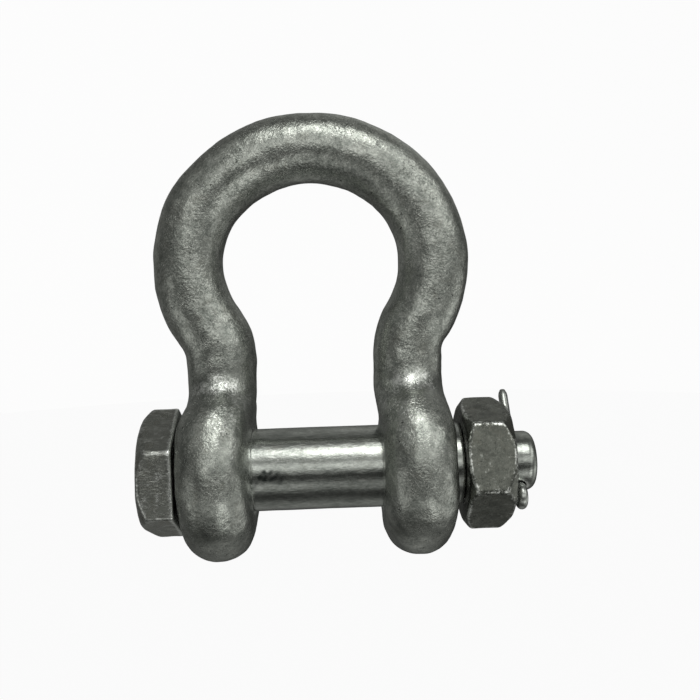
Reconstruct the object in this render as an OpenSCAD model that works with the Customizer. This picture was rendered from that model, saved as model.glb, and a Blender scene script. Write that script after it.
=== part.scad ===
// Bow shackle with a bolt, nut and split pin.
// Origin: middle of the bolt's axis between the two ears.
// +X runs along the bolt towards the nut, +Z towards the crown of the bow.

/* [Bow] */
// Diameter of the round bar that the bow is bent from
bar_d = 19; // [18.6:0.1:19.4]
// Widest half width of the bow, to the bar's centreline
bow_half_w = 33.7; // [33.3:0.1:34.1]
// Height of the crown's centreline above the bolt's axis
crown_z = 88.5; // [86:0.5:91]
// Radius of the flatter arc over the crown, to the bar's centreline
crown_r = 35.7; // [35.2:0.1:36.2]
// Half angle of the arc over the crown
crown_half_angle = 41; // [39:1:42]
// Angle by which the bow's sides lean in below its widest place
lean_angle = 33; // [32.5:0.1:33.5]
// Radius of the neck, to the bar's centreline
neck_r = 17; // [15:0.5:17.5]
// Distance of the bar's centreline from the middle plane, just above an ear
leg_x = 25.8; // [25.4:0.1:26]

/* [Ears] */
// Clear gap between the two ears
jaw_gap = 35.5; // [35:0.1:36]
// Thickness of an ear along the bolt
ear_t = 19.5; // [19:0.1:20]
// Outer diameter of an ear
ear_d = 49; // [47:0.5:50]
// Radius that rounds an ear's rim
ear_round = 9.4; // [8:0.1:9.4]
// Diameter of the bolt hole through each ear
ear_hole_d = 23.8; // [23.5:0.1:24.2]

/* [Bolt] */
// Diameter of the bolt's plain shank
shank_d = 22.8; // [22.4:0.1:22.9]
// Gap between the head and its ear
head_gap = 0.8; // [0.5:0.1:1.2]
// Gap between the nut's shoulder on the shank and its ear
shoulder_gap = 2.6; // [1.5:0.1:3]
// Width across the flats of the head
head_af = 31.8; // [31:0.1:33]
// Thickness of the bolt's head
head_t = 10; // [9:0.5:12]
// Turn of the head's flats about the bolt's axis
head_turn = 1; // [-29:1:30]
// Depth of the chamfer at the head's corners
head_chamfer = 3; // [2:0.1:3.4]
// Thread's outside diameter
thread_d = 19; // [18.8:0.1:19.4]
// Thread's pitch
thread_pitch = 2.54; // [2:0.02:2.8]
// Depth of the thread
thread_depth = 1.15; // [0.9:0.05:1.2]
// Diameter of the plain tail beyond the thread
tail_d = 16.6; // [16:0.1:16.6]
// Length of the bolt past the nut's outer face
tail_len = 7.3; // [7:0.1:8]

/* [Nut] */
// Width across the flats of the nut
nut_af = 32.2; // [31:0.1:33]
// Thickness of the nut
nut_t = 13.2; // [12.9:0.1:13.4]
// Turn of the nut's flats about the bolt's axis
nut_turn = -15; // [-29:1:30]
// Depth of the chamfer at the nut's corners on the ear's side
nut_inner_chamfer = 2.1; // [1.5:0.1:2.5]
// Depth of the chamfer at the nut's corners on the outer side
nut_outer_chamfer = 3.6; // [3:0.1:4]
// Radial clearance between the nut's bore and the thread
nut_gap = 0.25; // [0.2:0.05:0.35]

/* [Split pin] */
// Diameter of the closed split pin
split_d = 2.8; // [2.7:0.1:3]
// Diameter of the hole for the split pin
split_hole_d = 3.6; // [3.5:0.1:3.8]
// Distance of the hole's axis from the nut's outer face
split_x = 2.2; // [2:0.1:2.6]
// Lean of the split pin from upright, about the bolt's axis
split_lean = 44; // [0:1:60]
// Outside diameter of the split pin's eye
eye_d = 7.4; // [7:0.1:8]
// Length of the longer leg beyond the bolt's axis
long_leg = 23.5; // [20:0.5:26]
// Length of the shorter leg beyond the bolt's axis
short_leg = 20; // [18:0.5:22]
// Angle by which each leg is bent away from the hole's axis
leg_splay = 4; // [3:0.5:8]

/* [Hidden] */
$fn = 64;

// Bow: the flat arc over the crown runs into a tighter side arc, then a short
// straight, then the arc of the neck, which bends back and ends upright over the ear.
side_r = (bow_half_w - crown_r * sin(crown_half_angle)) / (1 - sin(crown_half_angle));
crown_c = [0, crown_z - crown_r];
side_c = crown_c + (crown_r - side_r) * [sin(crown_half_angle), cos(crown_half_angle)];
lean_drop = (side_r + neck_r) * (1 - cos(lean_angle));
lean_len = (bow_half_w - leg_x - lean_drop) / sin(lean_angle);
lean_start = side_c + side_r * [cos(lean_angle), -sin(lean_angle)];
lean_end = lean_start - lean_len * [sin(lean_angle), cos(lean_angle)];
neck_c = lean_end + neck_r * [cos(lean_angle), -sin(lean_angle)];
ear_x = (jaw_gap + ear_t) / 2;
lap = 0.5;
step = 0.1;
blend_d = 34;
blend_face_d = 26;

// Bolt: distances along +X
ear_out = jaw_gap / 2 + ear_t;
shank_start = -ear_out - head_gap;
shank_end = ear_out + shoulder_gap;
nut_x = shank_end + 0.1;
nut_out = nut_x + nut_t;
bolt_end = nut_out + tail_len;
thread_rings = floor((nut_t - 0.4) / thread_pitch);
thread_end = shank_end + thread_rings * thread_pitch;
split_pos = nut_out + split_x;
chamfer_inset = 0.6;
tail_round = 2.6;
mouth_depth = 1.4;

// Split pin: its legs are half rounds, cut from the closed pin's diameter
wire_t = split_d / 2;
eye_top = tail_d / 2 + 0.4;
leg_part_z = tail_d / 2 + 0.8;

// A stretch of round bar bent to radius r about a centre in the XZ plane,
// from angle a0 to angle a1, measured from +X towards +Z
module bent_bar(centre, r, a0, a1, d) {
    translate([centre.x, 0, centre.y])
        rotate([90, 0, 0])
            rotate_extrude(angle = a1 - a0, start = a0)
                translate([r, 0])
                    circle(d = d);
}

// A cylinder along +X from x0 to x1
module rod_x(x0, x1, d) {
    translate([x0, 0, 0])
        rotate([0, 90, 0])
            cylinder(h = x1 - x0, d = d);
}

// A disc with a rounded rim, its axis along X, centred on the origin
module rounded_disc(t, d, round_r) {
    rotate([0, 90, 0])
        rotate_extrude()
            intersection() {
                translate([0, -t / 2])
                    square([d / 2, t]);
                union() {
                    translate([0, -t / 2])
                        square([d / 2 - round_r, t]);
                    translate([0, -t / 2 + round_r])
                        square([d / 2, t - 2 * round_r]);
                    for (s = [-1, 1])
                        translate([d / 2 - round_r, s * (t / 2 - round_r)])
                            circle(r = round_r);
                }
            }
}

// One side of the bow, on the +X side: arcs, blend and ear, before its hole.
// Neighbouring stretches of bar lap by a little, and step by a hair in size.
module bow_side() {
    bent_bar(side_c, side_r, -lean_angle, 90 - crown_half_angle, bar_d + step);
    translate([lean_end.x, 0, lean_end.y])
        rotate([0, lean_angle, 0])
            translate([0, 0, -lap / 2])
                cylinder(h = lean_len + lap, d = bar_d);
    bent_bar(neck_c, neck_r, 180 - lean_angle, 180, bar_d + step);
    translate([ear_x, 0, 0])
        rounded_disc(ear_t, ear_d, ear_round);
    leg_blend();
}

// Blend that widens the bar below the neck into its ear
module leg_blend() {
    hull() {
        translate([leg_x, 0, neck_c.y])
            cylinder(h = lap, d = bar_d, $fn = 32);
        translate([ear_x, 0, 0])
            rotate([0, 90, 0])
                cylinder(h = ear_t - 5, d = blend_d, center = true, $fn = 32);
        translate([ear_x, 0, 0])
            rotate([0, 90, 0])
                cylinder(h = ear_t - 1, d = blend_face_d, center = true, $fn = 32);
    }
}

// Forged bow with its two ears
module bow() {
    color("slategray")
        difference() {
            union() {
                bent_bar(crown_c, crown_r, 90 - crown_half_angle - lap, 90 + crown_half_angle + lap, bar_d);
                bow_side();
                mirror([1, 0, 0])
                    bow_side();
            }
            rod_x(-ear_out - 5, ear_out + 5, ear_hole_d);
        }
}

// A hexagon of thickness t along +X. Its corners are chamfered to depth low at
// its near face and to depth high at its far face; 0 leaves them sharp.
module hex_block(af, t, turn, low, high) {
    out_r = af / 2 / cos(30) + 0.1;
    face_r = af / 2 - chamfer_inset;
    low_end = low > 0 ? [[face_r, 0], [out_r, low]] : [[out_r, 0]];
    high_end = high > 0 ? [[out_r, t - high], [face_r, t]] : [[out_r, t]];
    intersection() {
        rotate([turn, 0, 0])
            rotate([0, 90, 0])
                cylinder(h = t, d = af / cos(30), $fn = 6);
        rotate([0, 90, 0])
            rotate_extrude()
                polygon(concat([[0, 0]], low_end, high_end, [[0, t]]));
    }
}

// Rings of thread from the shank's end outwards, grown outwards by a clearance.
// Rings stand in for the helix, so that the nut can turn on them.
module ring_thread(rings, grow) {
    crest = thread_d / 2 + grow;
    root = crest - thread_depth;
    run = thread_depth * tan(30);
    flat = thread_pitch / 8;
    outline = [for (i = [0:rings - 1])
        let (x = i * thread_pitch)
            each [[root, x], [crest, x + run], [crest, x + run + flat], [root, x + 2 * run + flat]]];
    translate([shank_end, 0, 0])
        rotate([0, 90, 0])
            rotate_extrude()
                polygon(concat([[0, -1]], [[root, -1]], outline,
                    [[root, rings * thread_pitch]], [[0, rings * thread_pitch]]));
}

// Tail of the bolt, with a rounded end
module tail() {
    tail_r = tail_d / 2;
    rotate([0, 90, 0])
        rotate_extrude()
            union() {
                translate([0, thread_end])
                    square([tail_r, bolt_end - tail_round - thread_end]);
                translate([0, thread_end])
                    square([tail_r - tail_round, bolt_end - thread_end]);
                intersection() {
                    translate([tail_r - tail_round, bolt_end - tail_round])
                        circle(r = tail_round);
                    translate([tail_r - tail_round, bolt_end - tail_round])
                        square([tail_round, tail_round]);
                }
            }
}

// Bolt: hexagon head, plain shank, thread and drilled tail
module bolt() {
    color("lightslategray")
        difference() {
            union() {
                translate([shank_start - head_t, 0, 0])
                    hex_block(head_af, head_t, head_turn, head_chamfer, 0);
                rod_x(shank_start - 1, shank_end, shank_d);
                ring_thread(thread_rings, 0);
                tail();
            }
            translate([split_pos, 0, 0])
                rotate([-split_lean, 0, 0])
                    cylinder(h = tail_d + 4, d = split_hole_d, center = true);
        }
}

// Hexagon nut, chamfered on both faces
module nut() {
    mouth_r = thread_d / 2 + nut_gap + 0.3;
    color("gray")
        difference() {
            translate([nut_x, 0, 0])
                hex_block(nut_af, nut_t, nut_turn, nut_inner_chamfer, nut_outer_chamfer);
            ring_thread(thread_rings + 1, nut_gap);
            for (end = [[nut_x, 0], [nut_out, 180]])
                translate([end.x, 0, 0])
                    rotate([0, 90 + end.y, 0])
                        translate([0, 0, -0.01])
                            cylinder(h = mouth_depth, r1 = mouth_r, r2 = mouth_r - mouth_depth);
        }
}

// Half of a disc of the wire, its flat side on the Y axis, bulging towards +X
module half_disc() {
    intersection() {
        circle(d = split_d);
        translate([0, -split_d])
            square([split_d, 2 * split_d]);
    }
}

// Open end of a leg: half-round wire that leans away from the pin's axis
// towards +Y, above the place where the legs part
module open_leg(length) {
    translate([0, 0, leg_part_z - split_d])
        rotate([-leg_splay, 0, 0])
            translate([0, -0.1, 0])
                rotate([0, 0, 90])
                    linear_extrude(length + split_d - leg_part_z)
                        half_disc();
}

// Split pin: an eye at the lower front and two legs through the bolt's tail
module split_pin() {
    color("dimgray")
        translate([split_pos, 0, 0])
            rotate([-split_lean, 0, 0]) {
                translate([0, 0, -eye_top])
                    cylinder(h = eye_top + leg_part_z, d = split_d);
                open_leg(short_leg);
                mirror([0, 1, 0])
                    open_leg(long_leg);
                translate([0, 0, -eye_top - eye_d / 2 + 1])
                    rotate([0, 90, 0])
                        rotate_extrude()
                            translate([eye_d / 2 - wire_t, 0])
                                half_disc();
            }
}

bow();
bolt();
nut();
split_pin();
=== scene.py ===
import math

import bpy
import numpy as np
from mathutils import Euler, Matrix, Vector


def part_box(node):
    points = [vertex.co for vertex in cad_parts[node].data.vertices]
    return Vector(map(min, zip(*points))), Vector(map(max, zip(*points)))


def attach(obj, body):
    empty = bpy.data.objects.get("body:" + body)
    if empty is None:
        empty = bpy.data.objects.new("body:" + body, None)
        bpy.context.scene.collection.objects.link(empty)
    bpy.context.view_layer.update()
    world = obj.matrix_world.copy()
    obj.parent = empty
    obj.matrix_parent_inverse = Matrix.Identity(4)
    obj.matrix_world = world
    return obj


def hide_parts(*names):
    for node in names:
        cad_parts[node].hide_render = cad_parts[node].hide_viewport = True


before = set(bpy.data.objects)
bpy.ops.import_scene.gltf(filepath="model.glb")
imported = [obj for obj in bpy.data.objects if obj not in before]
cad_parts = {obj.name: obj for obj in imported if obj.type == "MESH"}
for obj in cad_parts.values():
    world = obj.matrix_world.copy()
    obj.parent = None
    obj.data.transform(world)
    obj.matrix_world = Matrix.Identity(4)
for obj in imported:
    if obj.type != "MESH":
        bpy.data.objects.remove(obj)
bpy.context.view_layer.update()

# Everything below is modelled in millimetres in the CAD model's frame: the origin is on
# the bolt's axis midway between the ears, +X runs towards the nut, +Z towards the crown.
# Names end in _R for a radius, _T for a thickness, _AF for a width across flats, _EDGE for
# how far an edge is eased, and _LUMPS for layers of relief: their height, size and seed.
MM = 0.001


def box_mm(node):
    """Lowest and highest corners of a CAD node, in millimetres."""
    low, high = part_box(node)
    return np.array(low) / MM, np.array(high) / MM


BOW_LOW, BOW_HIGH = box_mm("bow")
BOLT_LOW, BOLT_HIGH = box_mm("bolt")
NUT_LOW, NUT_HIGH = box_mm("nut")
PIN_LOW, PIN_HIGH = box_mm("split_pin")

# ---- bow ---------------------------------------------------------------------------
BAR_R = 9.5
CROWN_R = 35.7
CROWN_HALF = math.radians(41)
LEAN = math.radians(33)
NECK_R = 17.0
LEG_X = 25.8
EAR_ROUND = 9.4
EAR_R = -BOW_LOW[2]
EAR_RISE = 0.92
CROWN_Z = BOW_HIGH[2] - BAR_R
BOW_HALF_W = BOW_HIGH[0] - BAR_R
JAW = 35.5
EAR_T = 19.5
EAR_X = (JAW + EAR_T) / 2
EAR_HOLE_R = 11.9
EAR_HOLE_EDGE = 0.8
EAR_STEM_FILLET = 4.0
EAR_BAR_FILLET = 0.3
SWELL_TOP_Z = 23
SWELL_LENGTH = 12
BOW_LUMPS = ((0.15, 9, 1), (0.065, 3.5, 2), (0.02, 1.4, 3))
SEAM_RAISE = 0.12
SEAM_RELIEF_HALF_W = 0.9
SEAM_DIRT_HALF_W = 0.7
SEAM_LOW_Z = 38

# ---- bolt, nut and split pin -------------------------------------------------------
SHANK_R = 11.4
HEAD_AF = 31.8
HEAD_T = 10.0
HEAD_TURN = math.radians(1)
HEAD_FACE_R = 15.0
HEAD_SLOPE = 0.9
HEAD_EDGE = 0.7
HEAD_CHAMFER_EDGE = 0.6
HEAD_FILLET = 1.2
HEAD_OUT = BOLT_LOW[0]
HEAD_IN = HEAD_OUT + HEAD_T
SHANK_END = NUT_LOW[0] - 0.1
SHANK_EDGE = 0.5
OVERLAP = 2
BOLT_END = BOLT_HIGH[0]
THREAD_CREST_R = 9.35
THREAD_DEPTH = 1.0
THREAD_PITCH = 2.54
THREAD_END = NUT_HIGH[0] - 0.8
THREAD_RUNOUT = 1.2
THREAD_FIELD_SCALE = 0.8    # a thread's flanks are steep, so its distances are shortened
TAIL_R = 8.3
TAIL_ROUND = 2.6
HEAD_LUMPS = ((0.10, 7, 11), (0.05, 2.5, 12))
SHANK_LUMPS = ((0.02, 8, 13), (0.008, 2, 14))
NICKS_IN = 3.7
NICKS_HALF_W = 0.35
NICKS_HALF_L = 5
# Fade length and half-height of the painted dark reflection on the shank.
SHADE_BLOTCH_FADE = 16
SHADE_BLOTCH_HALF_H = 3.5
NUT_AF = 32.2
NUT_TURN = math.radians(-15)
NUT_FACE_R = 15.7
NUT_IN_SLOPE = 0.7
NUT_OUT_SLOPE = 1.2
NUT_EDGE = 0.6
NUT_CHAMFER_EDGE = 0.5
NUT_BORE_R = 9.6
NUT_GROOVE = 0.55
NUT_THREAD_EDGE = 0.3
NUT_MOUTH = 1.6
NUT_MOUTH_COS = 0.707
NUT_MOUTH_EDGE = 0.4
NUT_LUMPS = ((0.07, 7, 21), (0.035, 2.2, 22))
SPLIT_R = 1.4
SPLIT_HOLE_R = 1.8
SPLIT_HOLE_EDGE = 0.8
SPLIT_X = (PIN_LOW[0] + PIN_HIGH[0]) / 2
SPLIT_LEAN = math.radians(44)


# ---- distance fields ---------------------------------------------------------------
RIPPLE_WAVES = 28
HEX_EDGE = 0.9


def smooth_min(a, b, k):
    """The lower of a and b, with a fillet about k wide where they meet."""
    h = np.clip(0.5 + 0.5 * (b - a) / k, 0, 1)
    return b + (a - b) * h - k * h * (1 - h)


def smooth_max(a, b, k):
    """The higher of a and b, with the edge where they meet eased by about k."""
    return -smooth_min(-a, -b, k)


def rounded_corner(u, v, r):
    """Distance to the quadrant u < 0, v < 0 with its corner rounded to radius r."""
    u, v = u + r, v + r
    return np.hypot(np.maximum(u, 0), np.maximum(v, 0)) + np.minimum(np.maximum(u, v), 0) - r


def ripple(p, size, seed):
    """A smooth random field, mostly within -1.5 to 1.5, whose bumps are about size across."""
    rng = np.random.default_rng(seed)
    direction = rng.normal(size=(RIPPLE_WAVES, 3))
    direction /= np.linalg.norm(direction, axis=1, keepdims=True)
    pull = direction * (math.pi / size) * rng.uniform(0.6, 1.4, (RIPPLE_WAVES, 1))
    phase = rng.uniform(0, 2 * math.pi, RIPPLE_WAVES)
    total = np.zeros(len(p))
    for k, shift in zip(pull, phase):
        total += np.cos(p @ k + shift)
    return total / math.sqrt(RIPPLE_WAVES)


def arc_distance(x, z, centre, r, a0, a1):
    """Distance in the XZ plane to an arc that runs from angle a0 to a1."""
    dx, dz = x - centre[0], z - centre[1]
    mid, half = (a0 + a1) / 2, (a1 - a0) / 2
    turn = (np.arctan2(dz, dx) - mid + math.pi) % (2 * math.pi) - math.pi
    at = mid + np.clip(turn, -half, half)
    return np.hypot(dx - r * np.cos(at), dz - r * np.sin(at))


def bow_arcs():
    """Centres of the crown, side and neck arcs, and the side arc's radius."""
    s, c = math.sin(CROWN_HALF), math.cos(CROWN_HALF)
    side_r = (BOW_HALF_W - CROWN_R * s) / (1 - s)
    crown_c = np.array([0, CROWN_Z - CROWN_R])
    side_c = crown_c + (CROWN_R - side_r) * np.array([s, c])
    outwards = np.array([math.cos(LEAN), -math.sin(LEAN)])
    downwards = np.array([-math.sin(LEAN), -math.cos(LEAN)])
    drop = (side_r + NECK_R) * (1 - math.cos(LEAN))
    straight = (BOW_HALF_W - LEG_X - drop) / math.sin(LEAN)
    neck_c = side_c + (side_r + NECK_R) * outwards + straight * downwards
    return crown_c, side_c, side_r, neck_c


CROWN_C, SIDE_C, SIDE_R, NECK_C = bow_arcs()


def bow_field(p):
    """Three arcs of round bar on each side that swell into an upwards oval ear with a bore."""
    x, y, z = np.abs(p[..., 0]), p[..., 1], p[..., 2]
    plane = np.minimum.reduce([
        arc_distance(x, z, CROWN_C, CROWN_R, math.pi / 2 - CROWN_HALF, math.pi / 2 + 0.2),
        arc_distance(x, z, SIDE_C, SIDE_R, -LEAN, math.pi / 2 - CROWN_HALF),
        arc_distance(x, z, NECK_C, NECK_R, math.pi - LEAN, math.pi),
    ])
    bar = np.hypot(plane, y) - BAR_R
    rho = np.hypot(y, z)
    down = np.clip((SWELL_TOP_Z - z) / SWELL_LENGTH, 0, 1)
    down = down * down * (3 - 2 * down)
    thick = np.abs(x - LEG_X - (EAR_X - LEG_X) * down) - BAR_R - (EAR_T / 2 - BAR_R) * down
    stem = np.maximum(np.hypot(y, np.maximum(z - NECK_C[1], 0)) - BAR_R, -z)
    oval = np.hypot(y, np.where(z > 0, EAR_RISE * z, z)) - EAR_R
    outline = smooth_min(oval, stem, EAR_STEM_FILLET)
    ear = rounded_corner(thick, outline, EAR_ROUND)
    body = smooth_min(bar, ear, EAR_BAR_FILLET)
    return smooth_max(body, EAR_HOLE_R - rho, EAR_HOLE_EDGE)


def hexagon(y, z, af, turn):
    """Distance in the YZ plane to a hexagon that is turned from having a flat facing -Y."""
    sides = []
    for i in range(3):
        a = turn + i * math.pi / 3
        sides.append(np.abs(y * math.cos(a) + z * math.sin(a)) - af / 2)
    return smooth_max(smooth_max(sides[0], sides[1], HEX_EDGE), sides[2], HEX_EDGE)


def hex_chamfer(rho, depth, face_r, slope):
    """Distance to the cone that cuts a hexagon's corners, at a depth below its face."""
    return ((rho - face_r) * slope - depth) / math.hypot(slope, 1)


def thread_wave(x, y, z):
    """Height of a right-hand thread's ridge, from 0 in the groove to 1 on the crest."""
    turns = x / THREAD_PITCH - np.arctan2(z, y) / (2 * math.pi)
    saw = np.abs((turns % 1) - 0.5) * 2
    flat_share, flank_share = 0.2, 0.6
    return np.clip((saw - flat_share) / flank_share, 0, 1)


def bolt_field(p):
    """Chamfered hexagon head, plain shank, threaded part and rounded tail with a cross hole."""
    x, y, z = p[..., 0], p[..., 1], p[..., 2]
    rho = np.hypot(y, z)
    head = hexagon(y, z, HEAD_AF, HEAD_TURN)
    head = smooth_max(head, x - HEAD_IN, HEAD_EDGE)
    head = smooth_max(head, HEAD_OUT - x, HEAD_EDGE)
    chamfer = hex_chamfer(rho, x - HEAD_OUT, HEAD_FACE_R, HEAD_SLOPE)
    head = smooth_max(head, chamfer, HEAD_CHAMFER_EDGE)
    shank = rounded_corner(x - SHANK_END, rho - SHANK_R, SHANK_EDGE)
    shank = np.maximum(shank, HEAD_IN - OVERLAP - x)
    body = smooth_min(head, shank, HEAD_FILLET)
    ridge = THREAD_CREST_R - THREAD_DEPTH * (1 - thread_wave(x, y, z))
    runout = np.clip((THREAD_END - x) / THREAD_RUNOUT, 0, 1)
    ridge = TAIL_R + (ridge - TAIL_R) * runout
    thread = np.maximum(THREAD_FIELD_SCALE * (rho - ridge), x - THREAD_END)
    thread = np.maximum(thread, HEAD_IN - x)
    tail = rounded_corner(x - BOLT_END, rho - TAIL_R, TAIL_ROUND)
    tail = np.maximum(tail, SHANK_END - OVERLAP - x)
    body = np.minimum(np.minimum(body, thread), tail)
    across = y * math.cos(SPLIT_LEAN) - z * math.sin(SPLIT_LEAN)
    hole = np.hypot(x - SPLIT_X, across) - SPLIT_HOLE_R
    return smooth_max(body, -hole, SPLIT_HOLE_EDGE)


def nut_field(p):
    """Hexagon with both faces chamfered, and a threaded bore with countersunk mouths."""
    x, y, z = p[..., 0], p[..., 1], p[..., 2]
    rho = np.hypot(y, z)
    body = hexagon(y, z, NUT_AF, NUT_TURN)
    for depth, slope in ((x - NUT_LOW[0], NUT_IN_SLOPE), (NUT_HIGH[0] - x, NUT_OUT_SLOPE)):
        body = smooth_max(body, -depth, NUT_EDGE)
        body = smooth_max(body, hex_chamfer(rho, depth, NUT_FACE_R, slope), NUT_CHAMFER_EDGE)
        mouth = (NUT_BORE_R + NUT_MOUTH - rho - depth) * NUT_MOUTH_COS
        body = smooth_max(body, mouth, NUT_MOUTH_EDGE)
    bore = NUT_BORE_R + NUT_GROOVE * (1 - thread_wave(x, y, z))
    return smooth_max(body, THREAD_FIELD_SCALE * (bore - rho), NUT_THREAD_EDGE)


# ---- surfaces from the fields --------------------------------------------------------
SETTLE_ROUNDS = 3
SETTLE_LIMIT = 0.4
# How deep below the surface edges are felt, and how far above it hollows are.
EDGE_REACH = 0.7
HOLLOW_REACH = 4.5


def crossings(values):
    """Grid edges on which the sign of values changes: for each axis, indices and fraction."""
    for axis in range(3):
        low = np.take(values, range(values.shape[axis] - 1), axis)
        high = np.take(values, range(1, values.shape[axis]), axis)
        at = np.nonzero((low < 0) != (high < 0))
        a, b = low[at], high[at]
        yield axis, np.stack(at, 1), a / (a - b), a < 0


def surface_net(field, low, high, cell):
    """Quads on a field's zero surface, with one vertex in each grid cell that it crosses."""
    low = np.array(low, float)
    count = np.ceil((np.array(high) - low) / cell).astype(int) + 1
    ys, zs = np.meshgrid(*(low[i] + cell * np.arange(count[i]) for i in (1, 2)), indexing="ij")
    values = np.empty(count, np.float32)
    for i in range(count[0]):
        values[i] = field(np.stack([np.full_like(ys, low[0] + cell * i), ys, zs], -1))
    cells, points, quads = [], [], []
    for axis, at, t, inside in crossings(values):
        place = at.astype(float)
        place[:, axis] += t
        b, c = (axis + 1) % 3, (axis + 2) % 3
        corner = []
        for db, dc in ((1, 1), (0, 1), (0, 0), (1, 0)):
            near = at.copy()
            near[:, b] -= db
            near[:, c] -= dc
            corner.append(np.ravel_multi_index(near.T, count))
            points.append(place)
        cells += corner
        quad = np.stack(corner, 1)
        quads.append(np.where(inside[:, None], quad, quad[:, ::-1]))
    names, index = np.unique(np.concatenate(cells), return_inverse=True)
    points = np.concatenate(points)
    share = np.bincount(index)
    verts = np.stack([np.bincount(index, points[:, i]) / share for i in range(3)], 1)
    return low + cell * verts, np.searchsorted(names, np.concatenate(quads))


def gradient(field, p, reach=0.02):
    """A field's slope at points p, from differences over plus and minus reach."""
    steps = reach * np.eye(3)
    return np.stack([field(p + s) - field(p - s) for s in steps], 1) / (2 * reach)


def settle(field, verts, quads):
    """Evens out a net's vertices and puts them exactly on the field's surface."""
    a, b = quads.ravel(), np.roll(quads, -1, 1).ravel()
    share = np.bincount(a, minlength=len(verts)) + np.bincount(b, minlength=len(verts))
    for i in range(SETTLE_ROUNDS):
        if i < SETTLE_ROUNDS - 1:
            total = np.stack([np.bincount(a, verts[b, k], len(verts)) for k in range(3)], 1)
            total += np.stack([np.bincount(b, verts[a, k], len(verts)) for k in range(3)], 1)
            verts = verts + 0.5 * (total / share[:, None] - verts)
        for _ in range(2):
            slope = gradient(field, verts)
            size = np.maximum((slope ** 2).sum(1), 0.25)
            move = slope * (field(verts) / size)[:, None]
            length = np.linalg.norm(move, axis=1, keepdims=True)
            verts = verts - move * np.minimum(1, SETTLE_LIMIT / np.maximum(length, 1e-9))
    return verts


def make_piece(name, verts, faces, body):
    """A smooth-shaded mesh from points in millimetres that stands in for a body's CAD node."""
    mesh = bpy.data.meshes.new(name)
    mesh.from_pydata((verts * MM).tolist(), [], faces)
    mesh.shade_smooth()
    piece = bpy.data.objects.new(name, mesh)
    bpy.context.scene.collection.objects.link(piece)
    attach(piece, body)
    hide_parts(body)
    return piece


def tube_faces(rows, around):
    """Quads between rows of points, each row a closed loop of the same number of points."""
    return [(i * around + j, i * around + (j + 1) % around,
             (i + 1) * around + (j + 1) % around, (i + 1) * around + j)
            for i in range(rows - 1) for j in range(around)]


def paint(piece, name, values):
    """Stores one number per vertex for the material to read."""
    values = np.clip(values, 0, 1).astype(np.float32)
    piece.data.attributes.new(name, "FLOAT", "POINT").data.foreach_set("value", values)


def sculpt(name, field, low, high, cell, relief, marks, body):
    """A piece from a distance field, with relief(points) pushed in or out along the normal."""
    verts, quads = surface_net(field, low - 2 * cell, high + 2 * cell, cell)
    verts = settle(field, verts, quads)
    normal = gradient(field, verts, 0.2)
    normal /= np.maximum(np.linalg.norm(normal, axis=1, keepdims=True), 1e-9)
    edge = 1 + field(verts - EDGE_REACH * normal) / EDGE_REACH
    hollow_shade = 1 - field(verts + HOLLOW_REACH * normal) / HOLLOW_REACH
    wear, dirt_and_shade, forged = marks(verts, normal)
    raised = verts + normal * relief(verts)[:, None]
    piece = make_piece(name, raised, quads.tolist(), body)
    paint(piece, "wear", edge * 4 + wear)
    # Painted shade in the hollows and creases is stored here, added to the dark marks and painted
    # shade that the marks function gives.
    paint(piece, "dirt_and_shade", hollow_shade * 1.5 + dirt_and_shade)
    paint(piece, "forged", forged)
    return piece


def lumps(p, layers):
    """The sum of ripples, each given by its height, its size and its seed."""
    return sum(height * ripple(p, size, seed) for height, size, seed in layers)


def bow_relief(p):
    """Lumps of a dipped forging, and the trimmed parting line around the bow's middle plane."""
    rho = np.hypot(p[:, 1], p[:, 2])
    seam = np.exp(-(p[:, 1] / SEAM_RELIEF_HALF_W) ** 2) * np.clip(0.5 + ripple(p, 14, 4), 0, 1)
    seam *= SEAM_RAISE * np.clip((rho - EAR_HOLE_R - 4) / 4, 0, 1)
    worked = np.clip((rho - EAR_HOLE_R - 1.5) / 3, 0.15, 1)
    return (lumps(p, BOW_LUMPS) + seam) * worked


def bolt_relief(p):
    """Rough forged head, smoother turned shank."""
    head = np.clip((HEAD_IN - 0.5 - p[:, 0]) / 1.5, 0, 1)
    threads = (p[:, 0] > SHANK_END - 1) & (p[:, 0] < NUT_HIGH[0])
    rough, turned = lumps(p, HEAD_LUMPS), lumps(p, SHANK_LUMPS)
    return np.where(threads, 0, head * rough + (1 - head) * turned)


def nut_relief(p):
    """Rough outside, clean thread."""
    outside = np.clip((np.hypot(p[:, 1], p[:, 2]) - NUT_BORE_R - 1.5) / 2, 0, 1)
    return outside * lumps(p, NUT_LUMPS)


# Marks functions give, for each vertex, its added wear, its added dark marks and painted shade,
# and how far it is left as forged.
def bow_marks(p, normal):
    """Dirt in stretches of the parting line on the right's outside, and dark mottling with
    painted shade on the ears, darker towards the bottom.
    """
    x, y, z = p.T
    none = np.zeros(len(p))
    seam = np.exp(-(y / SEAM_DIRT_HALF_W) ** 2) * (x > 0) * np.clip(0.4 + ripple(p, 12, 41), 0, 1)
    seam = seam * np.clip((z - SEAM_LOW_Z) / 8, 0, 1) * np.clip(normal[:, 0] * 2, 0, 1)
    # Painted shade on the ears, darker towards the bottom and mottled.
    ears = np.clip((30 - z) / 20, 0, 1)
    grime_and_shade = ears * (0.18 + lumps(p, ((0.10, 4, 43), (0.10, 1.5, 44))))
    return none, 0.9 * seam + grime_and_shade, none


def plain_marks(p, normal):
    none = np.zeros(len(p))
    return none, none, none


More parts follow.
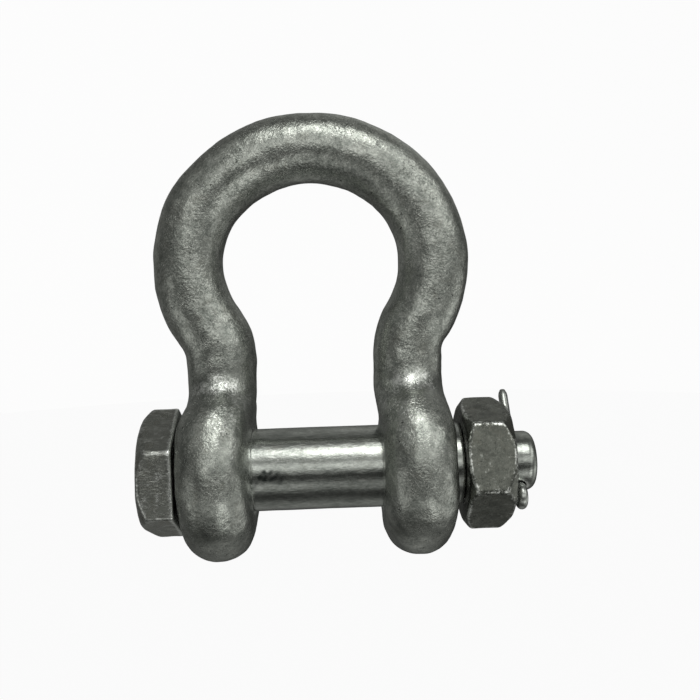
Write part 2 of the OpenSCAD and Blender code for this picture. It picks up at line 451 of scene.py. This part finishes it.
def bolt_marks(p, normal):
    """A rough head with a chain of bright nicks down one flat, and painted dark reflection in
    blotches along the shank.
    """
    x, y, z = p.T
    head = np.clip((HEAD_IN + 0.3 - x) / 0.6, 0, 1)
    chain_x = HEAD_IN - NICKS_IN + 0.05 * z
    chain = np.exp(-((x - chain_x) / NICKS_HALF_W) ** 2)
    chain = chain * (np.abs(z + 1.2) < NICKS_HALF_L) * (y < 0)
    nicks = chain * np.clip(0.6 + np.sin(4.5 * z) + 0.4 * ripple(p, 0.9, 45), 0, 1)
    nicks += 0.7 * (ripple(p, 0.9, 46) > 1.4)
    shank = (x > HEAD_IN + 1) & (x < SHANK_END)
    # Painted dark reflection in a band along the shank's middle height, broken into blotches and
    # fading out towards the nut.
    shade_blotch = np.clip(ripple(p * [0.6, 1, 1], 2.4, 48) + 0.5, 0, 1)
    shade_blotch = shade_blotch * np.clip(0.1 - x / SHADE_BLOTCH_FADE, 0, 1) * np.exp(-(z / SHADE_BLOTCH_HALF_H) ** 2)
    shade_blotch = shade_blotch * np.clip(0.7 + 0.5 * ripple(p, 0.9, 47), 0, 1)
    return head * (0.9 * nicks + 0.15), 0.9 * shade_blotch * shank, head


# ---- split pin: one folded half-round wire -------------------------------------------
# Its plane holds the bolt's radius along w, away from the eye, and u across it.
EYE_OUT_R = 3.7
EYE_IN_R = EYE_OUT_R - SPLIT_R
EYE_SINK = 0.6
EYE_W = -(TAIL_R + EYE_OUT_R - EYE_SINK)
PIN_LONG = 23.5
PIN_SHORT = 20.0
LEG_PART_W = 9.1
LEG_SPLAY = math.radians(4)
SHOULDER_R = 2.3
LEG_GAP_HALF = 0.04
LONG_TIP_BEND = 0.9
SHORT_TIP_BEND = 0.3
TIP_TAPER = 1.6
TIP_SIZE = 0.55
TIP_LIFT = 0.3
SECTION_HALF_ANGLE = 1.45
SECTION_CORNER = 0.12
PIN_LUMPS = ((0.015, 2.5, 31),)


def arc_points(centre, r, a0, a1, count):
    return [(centre[0] + r * math.cos(a), centre[1] + r * math.sin(a))
            for a in np.linspace(a0, a1, count)]


def wire_side(leg, bend):
    """Points from a leg's tip to the top of the eye, on the side u < 0 of the pin's plane,
    and the angle at which the eye takes over."""
    gap = LEG_GAP_HALF
    length = leg - LEG_PART_W
    tip_w = LEG_PART_W + length * math.cos(LEG_SPLAY)
    points = []
    for t in np.linspace(0, 1, 16):
        u = -gap - math.tan(LEG_SPLAY) * length * (1 - t) - bend * (1 - t) ** 3
        points.append((u, tip_w + (LEG_PART_W - tip_w) * t))
    across = gap + SHOULDER_R
    rise = math.sqrt((SHOULDER_R + EYE_IN_R) ** 2 - across ** 2)
    turn_w = EYE_W + rise
    points += [(-gap, w) for w in np.linspace(LEG_PART_W, turn_w, 16)[1:]]
    low = -math.atan2(rise, across)
    points += arc_points((-across, turn_w), SHOULDER_R, 0, low, 8)[1:]
    return points, math.pi + low


def wire_path():
    """The folded wire's flat side, from the long leg's tip around the eye to the short one's."""
    front, eye_start = wire_side(PIN_LONG, LONG_TIP_BEND)
    back, _ = wire_side(PIN_SHORT, SHORT_TIP_BEND)
    eye = arc_points((0, EYE_W), EYE_IN_R, eye_start, 3 * math.pi - eye_start, 36)[1:-1]
    return np.array(front + eye + [(-u, w) for u, w in reversed(back)])


def split_pin_mesh():
    """Sweeps the half-round section, bulging outwards, along the folded wire."""
    path = wire_path()
    run = np.gradient(path, axis=0)
    run /= np.linalg.norm(run, axis=1, keepdims=True)
    outwards = np.stack([run[:, 1], -run[:, 0]], 1)
    along = np.concatenate([[0], np.cumsum(np.linalg.norm(np.diff(path, axis=0), axis=1))])
    to_tip = np.minimum(along, along[-1] - along)
    size = TIP_SIZE + (1 - TIP_SIZE) * np.clip(to_tip / TIP_TAPER, 0, 1) ** 0.6
    section = [(SPLIT_R * math.sin(a), SPLIT_R * math.cos(a))
               for a in np.linspace(-SECTION_HALF_ANGLE, SECTION_HALF_ANGLE, 19)]
    flat = SPLIT_R - SECTION_CORNER
    section += [(s, 0.0) for s in np.linspace(flat, -flat, 9)]
    lean_up = np.array([0, math.sin(SPLIT_LEAN), math.cos(SPLIT_LEAN)])
    lean_over = np.array([0, math.cos(SPLIT_LEAN), -math.sin(SPLIT_LEAN)])
    rings = []
    for (u, w), (nu, nw), k in zip(path, outwards, size):
        centre = np.array([SPLIT_X, 0, 0]) + u * lean_over + w * lean_up
        normal = nu * lean_over + nw * lean_up
        shift = TIP_LIFT * SPLIT_R * (1 - k)
        rings.append([centre + np.array([s * k, 0, 0]) + normal * (b * k + shift)
                      for s, b in section])
    verts = np.array(rings).reshape(-1, 3)
    verts = verts + lumps(verts, PIN_LUMPS)[:, None]
    m, n = len(rings), len(section)
    ends = [tuple(range(n - 1, -1, -1)), tuple(range((m - 1) * n, m * n))]
    return verts, tube_faces(m, n) + ends


# ---- materials -------------------------------------------------------------------------
NOISE_SCALE = 0.7


class Nodes:
    """A small helper that wires shader nodes together in a line or two."""

    def __init__(self, tree):
        self.tree = tree
        coords = tree.nodes.new("ShaderNodeTexCoord")
        self.place = self.scaled(coords.outputs["Object"], 1 / MM)

    def link(self, source, socket):
        """Joins a node's output to a socket, or sets the socket to a plain value."""
        if isinstance(source, bpy.types.NodeSocket):
            self.tree.links.new(source, socket)
        else:
            socket.default_value = source

    def scaled(self, vector, factor):
        node = self.tree.nodes.new("ShaderNodeVectorMath")
        node.operation = "SCALE"
        self.link(vector, node.inputs[0])
        node.inputs["Scale"].default_value = factor
        return node.outputs[0]

    def noise(self, size, detail=3, roughness=0.55, distortion=0.0, stretch=(1, 1, 1), w=0.0):
        """Noise from 0 to 1 whose bumps are about size millimetres across; each w gives
        another pattern, and a stretch below 1 draws the bumps out along that axis."""
        mapping = self.tree.nodes.new("ShaderNodeMapping")
        mapping.inputs["Scale"].default_value = stretch
        mapping.inputs["Location"].default_value = (w, 2.3 * w, 3.1 * w)
        self.link(self.place, mapping.inputs["Vector"])
        node = self.tree.nodes.new("ShaderNodeTexNoise")
        node.inputs["Scale"].default_value = NOISE_SCALE / size
        node.inputs["Detail"].default_value = detail
        node.inputs["Roughness"].default_value = roughness
        node.inputs["Distortion"].default_value = distortion
        self.link(mapping.outputs[0], node.inputs["Vector"])
        return node.outputs["Fac"]

    def ramp(self, value, low, high, out_low=0.0, out_high=1.0):
        """Eases value from out_low at low to out_high at high."""
        node = self.tree.nodes.new("ShaderNodeMapRange")
        node.interpolation_type = "SMOOTHSTEP"
        self.link(value, node.inputs["Value"])
        for name, number in (("From Min", low), ("From Max", high),
                             ("To Min", out_low), ("To Max", out_high)):
            node.inputs[name].default_value = number
        return node.outputs["Result"]

    def math(self, operation, a, b):
        node = self.tree.nodes.new("ShaderNodeMath")
        node.operation = operation
        self.link(a, node.inputs[0])
        self.link(b, node.inputs[1])
        return node.outputs[0]

    def mix(self, share, a, b):
        """Colour a where share is 0 and colour b where it is 1."""
        node = self.tree.nodes.new("ShaderNodeMix")
        node.data_type = "RGBA"
        self.link(share, node.inputs["Factor"])
        self.link(a, node.inputs["A"])
        self.link(b, node.inputs["B"])
        return node.outputs["Result"]

    def bump(self, height, distance, under=None):
        """A normal from a height of 0 to 1 that stands for distance millimetres."""
        node = self.tree.nodes.new("ShaderNodeBump")
        node.inputs["Distance"].default_value = distance * MM
        node.inputs["Strength"].default_value = 1.0
        self.link(height, node.inputs["Height"])
        if under is not None:
            self.link(under, node.inputs["Normal"])
        return node.outputs["Normal"]

    def painted(self, name):
        """A number that paint() stored on the mesh."""
        node = self.tree.nodes.new("ShaderNodeAttribute")
        node.attribute_name = name
        return node.outputs["Fac"]

    def weighted(self, *parts):
        """The sum of each value times its weight."""
        total = 0.0
        for value, weight in parts:
            total = self.math("ADD", total, self.math("MULTIPLY", value, weight))
        return total


def rgb(r, g, b):
    return (r, g, b, 1.0)


STAIN = rgb(0.23, 0.215, 0.18)
# Dark colour of grime and of painted shade.
GRIME_AND_SHADE = rgb(0.07, 0.08, 0.075)
PIT = rgb(0.012, 0.016, 0.015)
AS_FORGED = rgb(0.36, 0.355, 0.32)
RUBBED = rgb(0.85, 0.86, 0.84)
METALLIC = 0.93


def zinc(name, light, dark, rough, grain, pits, stretch=(1, 1, 1)):
    """Hot-dip zinc: mottled grey, granular highlights, dark pits and rubbed bright edges.

    rough sets the roughness, grain is the height of the grain in millimetres, pits is the
    strength of the pits and veins, and stretch is as in Nodes.noise.
    """
    material = bpy.data.materials.new(name)
    material.use_nodes = True
    tree = material.node_tree
    shader = tree.nodes["Principled BSDF"]
    n = Nodes(tree)
    # Mottled grey at three sizes.
    patches = n.noise(6, detail=4, roughness=0.6, distortion=0.8, stretch=stretch)
    patches = n.ramp(patches, 0.3, 0.7)
    mottle = n.ramp(n.noise(1.4, detail=4, roughness=0.65, stretch=stretch, w=2), 0.3, 0.7)
    flecks = n.ramp(n.noise(0.42, detail=2, roughness=0.6, stretch=stretch, w=4), 0.3, 0.7)
    colour = n.mix(n.weighted((patches, 0.25), (mottle, 0.4), (flecks, 0.35)), dark, light)
    # Brownish stains, strongest where the metal is left as forged.
    forged = n.painted("forged")
    stain = n.ramp(n.noise(4, detail=6, roughness=0.75, distortion=1.0, w=7), 0.5, 0.75)
    stain = n.math("MULTIPLY", stain, n.weighted((forged, 0.5), (1.0, 0.4)))
    colour = n.mix(stain, colour, STAIN)
    # Grime and painted shade from the painted marks, painted shade in the hollows and creases,
    # and thin dark veins and pits in some areas.
    grime_and_shade = n.weighted((n.painted("dirt_and_shade"), 1.0), (mottle, 0.3), (flecks, 0.2))
    grime_and_shade = n.ramp(grime_and_shade, 0.35, 1.1)
    area = n.ramp(n.noise(5, detail=2, w=3), 0.42, 0.62)
    line = n.math("SUBTRACT", n.noise(2.4, detail=5, roughness=0.7, w=21), 0.5)
    vein = n.ramp(n.math("ABSOLUTE", line, 0), 0.004, 0.014, 0.6 * pits, 0)
    vein = n.math("MULTIPLY", vein, area)
    grime_and_shade = n.math("MAXIMUM", grime_and_shade, vein)
    colour = n.mix(grime_and_shade, colour, GRIME_AND_SHADE)
    pit = n.ramp(n.noise(0.7, detail=3, roughness=0.6, distortion=0.5, w=5), 0.63, 0.68)
    pit = n.math("MULTIPLY", n.math("MULTIPLY", pit, area), pits)
    colour = n.mix(pit, colour, PIT)
    colour = n.mix(n.math("MULTIPLY", forged, 0.4), colour, AS_FORGED)
    # Edges and nicks rubbed bright.
    rub = n.weighted((n.painted("wear"), 1.0), (mottle, 0.5), (flecks, 0.5))
    rub = n.ramp(rub, 0.75, 1.35)
    colour = n.mix(rub, colour, RUBBED)
    n.link(colour, shader.inputs["Base Color"])
    shader.inputs["Metallic"].default_value = METALLIC
    roughness = n.weighted((mottle, -0.06), (patches, -0.08), (stain, 0.12), (grime_and_shade, 0.14),
                           (pit, 0.2), (forged, 0.14), (rub, -0.08))
    n.link(n.math("ADD", roughness, rough + 0.06), shader.inputs["Roughness"])
    # Gentle unevenness, grain, then the dips of pits and veins.
    normal = n.bump(n.noise(2.6, detail=2, w=13, stretch=stretch), 0.05)
    coarse = n.noise(0.55, detail=3, roughness=0.7, w=15, stretch=stretch)
    coarse = n.math("MULTIPLY", coarse, n.weighted((forged, 2.0), (1.0, 1.0)))
    normal = n.bump(coarse, grain, under=normal)
    normal = n.bump(n.math("SUBTRACT", 1.0, n.math("MAXIMUM", pit, vein)), 0.06, under=normal)
    n.link(normal, shader.inputs["Normal"])
    return material


BOW_ZINC = zinc("bow_zinc", rgb(0.80, 0.815, 0.77), rgb(0.25, 0.27, 0.25), 0.15, 0.15, 0.8)
BOLT_ZINC = zinc("bolt_zinc", rgb(0.64, 0.655, 0.63), rgb(0.27, 0.285, 0.27), 0.11, 0.045, 0.1,
                 stretch=(0.4, 1, 1))
NUT_ZINC = zinc("nut_zinc", rgb(0.245, 0.25, 0.225), rgb(0.10, 0.105, 0.095), 0.27, 0.08, 0.5)
PIN_ZINC = zinc("split_pin_zinc", rgb(0.68, 0.70, 0.68), rgb(0.45, 0.46, 0.45), 0.22, 0.02, 0.2)


# ---- the pieces ------------------------------------------------------------------------
BOW_CELL = 0.6
BOLT_CELL = 0.38
NUT_CELL = 0.3
PIN_SHARP = math.radians(50)

bow_piece = sculpt("bow_forging", bow_field, BOW_LOW, BOW_HIGH, BOW_CELL, bow_relief,
                   bow_marks, "bow")
bolt_piece = sculpt("bolt_forging", bolt_field, BOLT_LOW, BOLT_HIGH, BOLT_CELL, bolt_relief,
                    bolt_marks, "bolt")
nut_piece = sculpt("hexagon_nut", nut_field, NUT_LOW, NUT_HIGH, NUT_CELL, nut_relief,
                   plain_marks, "nut")
pin_verts, pin_faces = split_pin_mesh()
pin_piece = make_piece("split_pin_wire", pin_verts, pin_faces, "split_pin")
pin_piece.data.set_sharp_from_angle(angle=PIN_SHARP)
for piece, material in ((bow_piece, BOW_ZINC), (bolt_piece, BOLT_ZINC),
                        (nut_piece, NUT_ZINC), (pin_piece, PIN_ZINC)):
    piece.data.materials.append(material)


# ---- floor, light and camera -------------------------------------------------------------
# The floor's sizes are in metres.
FLOOR_Z = -0.042
FLOOR_REACH = 0.55
FLOOR_BEND_R = 0.25
FLOOR_TOP_Z = 1.6
FLOOR_GLOW = 0.96


def pale_floor():
    """A nearly white floor that curves up all around and is not mirrored in the metal."""
    outline = [(FLOOR_REACH + FLOOR_BEND_R * math.sin(a),
                FLOOR_Z + FLOOR_BEND_R * (1 - math.cos(a)))
               for a in np.linspace(0, math.pi / 2, 16)]
    outline.append((FLOOR_REACH + FLOOR_BEND_R, FLOOR_TOP_Z))
    turns = [(math.cos(a), math.sin(a)) for a in np.linspace(0, 2 * math.pi, 97)[:-1]]
    verts = [(r * c, r * s, z) for r, z in outline for c, s in turns]
    faces = tube_faces(len(outline), len(turns)) + [tuple(range(len(turns)))]
    mesh = bpy.data.meshes.new("floor")
    mesh.from_pydata(verts, [], faces)
    mesh.shade_smooth()
    floor = bpy.data.objects.new("floor", mesh)
    bpy.context.scene.collection.objects.link(floor)
    material = bpy.data.materials.new("pale_floor")
    material.use_nodes = True
    tree = material.node_tree
    shader = tree.nodes["Principled BSDF"]
    shader.inputs["Base Color"].default_value = rgb(0.82, 0.82, 0.82)
    shader.inputs["Roughness"].default_value = 0.9
    shader.inputs["Specular IOR Level"].default_value = 0.1
    glow = tree.nodes.new("ShaderNodeEmission")
    glow.inputs["Strength"].default_value = 1.0
    blend = tree.nodes.new("ShaderNodeMixShader")
    blend.inputs["Fac"].default_value = FLOOR_GLOW
    tree.links.new(shader.outputs[0], blend.inputs[1])
    tree.links.new(glow.outputs[0], blend.inputs[2])
    tree.links.new(blend.outputs[0], tree.nodes["Material Output"].inputs["Surface"])
    floor.visible_glossy = False
    floor.visible_diffuse = False
    floor.visible_shadow = False
    mesh.materials.append(material)


# Soft lights of the studio: azimuth (0 is the camera's side, + is right) and elevation in
# degrees, tightness and strength.
SOFT_LIGHTS = [
    (63, 32, 20, 1.35),
    (11, 56, 33, 3.8),
    (91, -23, 14, 0.8),
    (-67, -23, 20, 0.6),
    (-61, 46, 10, 0.3),
    (-132, 0, 5, 0.15),
    (173, -67, 8, 0.25),
    (-15, -38, 30, 0.55),
    (157, 43, 6, 0.35),
    (-24, 15, 34, 0.5),
    (-5, 16, 34, 0.85),
    (14, 15, 34, 0.6),
    (38, 11, 26, 0.75),
    (35, -38, 30, 1.4),
]
ROOM = 0.002
LIGHT_TINT = rgb(0.98, 1.0, 0.95)


def studio():
    """A dim room with broad soft lights for the metal to reflect."""
    world = bpy.data.worlds.new("studio")
    world.use_nodes = True
    tree = world.node_tree
    direction = tree.nodes.new("ShaderNodeTexCoord").outputs["Generated"]
    total = None
    for azimuth, elevation, tightness, strength in SOFT_LIGHTS:
        a, e = math.radians(azimuth), math.radians(elevation)
        dot = tree.nodes.new("ShaderNodeVectorMath")
        dot.operation = "DOT_PRODUCT"
        tree.links.new(direction, dot.inputs[0])
        dot.inputs[1].default_value = (math.sin(a) * math.cos(e), -math.cos(a) * math.cos(e),
                                       math.sin(e))
        fall = tree.nodes.new("ShaderNodeMath")
        fall.operation = "MULTIPLY_ADD"
        tree.links.new(dot.outputs["Value"], fall.inputs[0])
        fall.inputs[1].default_value = tightness
        fall.inputs[2].default_value = math.log(strength) - tightness
        glow = tree.nodes.new("ShaderNodeMath")
        glow.operation = "EXPONENT"
        tree.links.new(fall.outputs[0], glow.inputs[0])
        gather = tree.nodes.new("ShaderNodeMath")
        gather.operation = "ADD"
        tree.links.new(glow.outputs[0], gather.inputs[0])
        if total is None:
            gather.inputs[1].default_value = ROOM
        else:
            tree.links.new(total, gather.inputs[1])
        total = gather.outputs[0]
    background = tree.nodes["Background"]
    background.inputs["Color"].default_value = LIGHT_TINT
    tree.links.new(total, background.inputs["Strength"])
    bpy.context.scene.world = world


pale_floor()
studio()

# The camera stands close, a little above the bolt, and is rolled slightly.
VIEW_YAW = math.radians(-1.39)
VIEW_PITCH = math.radians(-3.72)
VIEW_ROLL = math.radians(1.81)
VIEW_PLACE = Vector((0.0043, -0.2340, 0.0480))
LENS_MM = 43.3
SENSOR_MM = 36.0


def view_camera():
    """The photograph's view: standing at VIEW_PLACE and turned by the three angles."""
    data = bpy.data.cameras.new("camera")
    data.lens = LENS_MM
    data.sensor_width = SENSOR_MM
    data.clip_start = 0.01
    camera = bpy.data.objects.new("camera", data)
    level = Euler((math.pi / 2, 0, 0)).to_matrix()
    yaw = Matrix.Rotation(VIEW_YAW, 3, "Z")
    pitch = Matrix.Rotation(VIEW_PITCH, 3, "X")
    roll = Matrix.Rotation(VIEW_ROLL, 3, "Y")
    camera.matrix_world = (yaw @ pitch @ roll @ level).to_4x4()
    camera.location = VIEW_PLACE
    bpy.context.scene.collection.objects.link(camera)
    bpy.context.scene.camera = camera


view_camera()
bpy.context.scene.view_settings.view_transform = "Standard"
